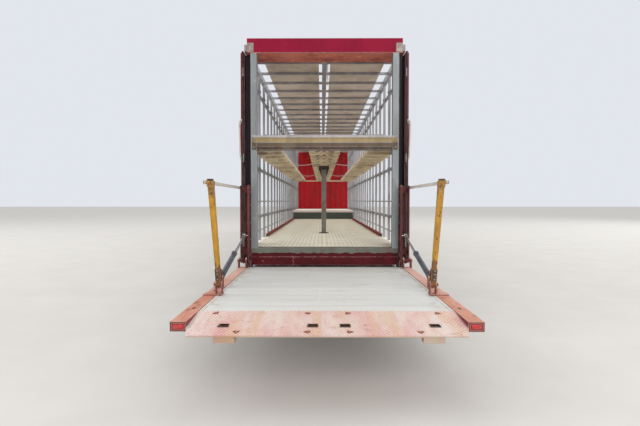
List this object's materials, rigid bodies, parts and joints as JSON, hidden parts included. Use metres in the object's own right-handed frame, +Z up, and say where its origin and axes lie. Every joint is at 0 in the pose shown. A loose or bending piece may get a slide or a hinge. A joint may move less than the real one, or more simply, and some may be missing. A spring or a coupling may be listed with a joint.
{
  "type": "double-deck vehicle transporter lorry with tail lift",
  "caption": "Articulated lorry: a cab-over tractor and a barred two-deck vehicle transporter trailer with a column tail lift, hinged at the kingpin.",
  "frame": {"origin": "bottom centre of the whole vehicle's box, on the road", "axes": "+Y forward along the vehicle, +X to its right, +Z up"},
  "size_m": [2.9, 19.48, 4],
  "materials": {
    "chassis_steel": "satin",
    "body_red": "satin",
    "galvanised": "satin",
    "column_dark": "satin",
    "floor_cream": "matte",
    "ceiling_beige": "matte",
    "deck_brown": "satin",
    "platform_grey": "satin",
    "lip_worn": "satin",
    "gate_yellow": "satin",
    "rail_white": "satin",
    "hydraulic_dark": "gloss",
    "rod_chrome": "polished",
    "tyre": "matte",
    "rim_silver": "satin",
    "flap_rubber": "matte",
    "cab_paint": "gloss",
    "trim_black": "matte",
    "bumper_paint": "gloss",
    "glass": "clear",
    "lamp_glass": "gloss",
    "interior": "matte",
    "cast_dark": "rough",
    "tank_aluminium": "satin",
    "mudguard_plastic": "matte"
  },
  "bodies": {
    "trailer": {"trailer_chassis": "chassis_steel", "gooseneck": "chassis_steel", "trailer_floor": "floor_cream", "side_posts": "galvanised", "side_rails": "galvanised", "roof_frame": "galvanised", "roof_panels": "ceiling_beige", "front_wall": "body_red", "rear_frame": "body_red", "rear_posts": "galvanised", "lift_columns": "column_dark", "folded_doors": "body_red", "mid_deck": "deck_brown", "trailer_axles": "cast_dark", "landing_legs": "chassis_steel", "underrun_guards": "galvanised", "mud_flaps": "flap_rubber"},
    "tractor": {"tractor_chassis": "chassis_steel", "fifth_wheel": "cast_dark", "cab_shell": "cab_paint", "windscreen": "glass", "cab_trim": "trim_black", "front_bumper": "bumper_paint", "headlamps": "lamp_glass", "cab_fairings": "cab_paint", "cab_interior": "interior", "engine_block": "cast_dark", "side_tanks": "tank_aluminium", "tractor_mudguards": "mudguard_plastic", "tractor_axles": "cast_dark"},
    "lift": {"lift_carriage": "body_red"},
    "platform": {"platform_frame": "body_red", "platform_deck": "platform_grey", "platform_lip": "lip_worn"},
    "gate_post_pair": {"gate_posts": "gate_yellow"},
    "gate_rail_pair": {"gate_rails": "rail_white"},
    "barrel_pair": {"cylinder_barrels": "hydraulic_dark"},
    "rod_pair": {"cylinder_rods": "rod_chrome"},
    "door_left_body": {"door_left": "cab_paint", "door_glass_left": "glass"},
    "knuckle_left_body": {"knuckle_left": "cast_dark"},
    "wheel_front_left": {"tyre_front_left": "tyre", "rim_front_left": "rim_silver"},
    "wheel_drive_left": {"tyre_drive_left": "tyre", "rim_drive_left": "rim_silver"},
    "wheel_trailer_front_left": {"tyre_trailer_front_left": "tyre", "rim_trailer_front_left": "rim_silver"},
    "wheel_trailer_rear_left": {"tyre_trailer_rear_left": "tyre", "rim_trailer_rear_left": "rim_silver"},
    "door_right_body": {"door_right": "cab_paint", "door_glass_right": "glass"},
    "knuckle_right_body": {"knuckle_right": "cast_dark"},
    "wheel_front_right": {"tyre_front_right": "tyre", "rim_front_right": "rim_silver"},
    "wheel_drive_right": {"tyre_drive_right": "tyre", "rim_drive_right": "rim_silver"},
    "wheel_trailer_front_right": {"tyre_trailer_front_right": "tyre", "rim_trailer_front_right": "rim_silver"},
    "wheel_trailer_rear_right": {"tyre_trailer_rear_right": "tyre", "rim_trailer_rear_right": "rim_silver"}
  },
  "joints": [
    {"name": "kingpin_turn", "type": "hinge", "parent": "trailer", "child": "tractor", "pos_m": [0, 5.31, 1.1], "axis": [0, 0, 1], "range_deg": [-90, 90]},
    {"name": "steer_left", "type": "hinge", "parent": "tractor", "child": "knuckle_left_body", "pos_m": [-0.9, 8.34, 0.507], "axis": [0, 0, 1], "range_deg": [-40, 40]},
    {"name": "door_left_swing", "type": "hinge", "parent": "tractor", "child": "door_left_body", "pos_m": [-1.258, 9.414, 1.6], "axis": [0, 0, -1], "range_deg": [0, 70]},
    {"name": "steer_right", "type": "hinge", "parent": "tractor", "child": "knuckle_right_body", "pos_m": [0.9, 8.34, 0.507], "axis": [0, 0, 1], "range_deg": [-40, 40]},
    {"name": "door_right_swing", "type": "hinge", "parent": "tractor", "child": "door_right_body", "pos_m": [1.258, 9.414, 1.6], "axis": [0, 0, 1], "range_deg": [0, 70]},
    {"name": "spin_front_left", "type": "hinge", "parent": "knuckle_left_body", "child": "wheel_front_left", "pos_m": [-1.089, 8.34, 0.507], "axis": [1, 0, 0], "continuous": true},
    {"name": "spin_drive_left", "type": "hinge", "parent": "tractor", "child": "wheel_drive_left", "pos_m": [-0.9165, 4.69, 0.507], "axis": [1, 0, 0], "continuous": true},
    {"name": "spin_trailer_front_left", "type": "hinge", "parent": "trailer", "child": "wheel_trailer_front_left", "pos_m": [-1.11, -2.035, 0.42], "axis": [1, 0, 0], "continuous": true},
    {"name": "spin_trailer_rear_left", "type": "hinge", "parent": "trailer", "child": "wheel_trailer_rear_left", "pos_m": [-1.11, -3.345, 0.42], "axis": [1, 0, 0], "continuous": true},
    {"name": "spin_front_right", "type": "hinge", "parent": "knuckle_right_body", "child": "wheel_front_right", "pos_m": [1.089, 8.34, 0.507], "axis": [1, 0, 0], "continuous": true},
    {"name": "spin_drive_right", "type": "hinge", "parent": "tractor", "child": "wheel_drive_right", "pos_m": [0.9165, 4.69, 0.507], "axis": [1, 0, 0], "continuous": true},
    {"name": "spin_trailer_front_right", "type": "hinge", "parent": "trailer", "child": "wheel_trailer_front_right", "pos_m": [1.11, -2.035, 0.42], "axis": [1, 0, 0], "continuous": true},
    {"name": "spin_trailer_rear_right", "type": "hinge", "parent": "trailer", "child": "wheel_trailer_rear_right", "pos_m": [1.11, -3.345, 0.42], "axis": [1, 0, 0], "continuous": true},
    {"name": "lift_slide", "type": "slide", "parent": "trailer", "child": "lift", "axis": [0, 0, 1], "range_m": [-0.5, 1.81]},
    {"name": "platform_tilt", "type": "hinge", "parent": "lift", "child": "platform", "pos_m": [0, -6.775, 0.76], "axis": [-1, 0, 0], "range_deg": [0, 90]},
    {"name": "gate_post_fold", "type": "hinge", "parent": "platform", "child": "gate_post_pair", "pos_m": [0, -8.575, 0.76], "axis": [1, 0, 0], "range_deg": [0, 90]},
    {"name": "gate_rail_fold", "type": "hinge", "parent": "lift", "child": "gate_rail_pair", "pos_m": [0, -6.775, 1.82], "axis": [-1, 0, 0], "range_deg": [0, 90]},
    {"name": "barrel_swing", "type": "hinge", "parent": "platform", "child": "barrel_pair", "pos_m": [0, -8.235, 0.76], "axis": [-1, 0, 0], "range_deg": [0, 13.86]},
    {"name": "rod_slide", "type": "slide", "parent": "barrel_pair", "child": "rod_pair", "axis": [0, -0.9709, -0.2394], "range_m": [0, 0.4047]}
  ],
  "couplings": [
    {"joint": "steer_right", "follows": "steer_left", "ratio": 1},
    {"joint": "gate_post_fold", "follows": "platform_tilt", "ratio": 1},
    {"joint": "gate_rail_fold", "follows": "platform_tilt", "ratio": 1},
    {"joint": "barrel_swing", "follows": "platform_tilt", "ratio": 0.1539},
    {"joint": "rod_slide", "follows": "platform_tilt", "m_per_rad": 0.25702}
  ]
}
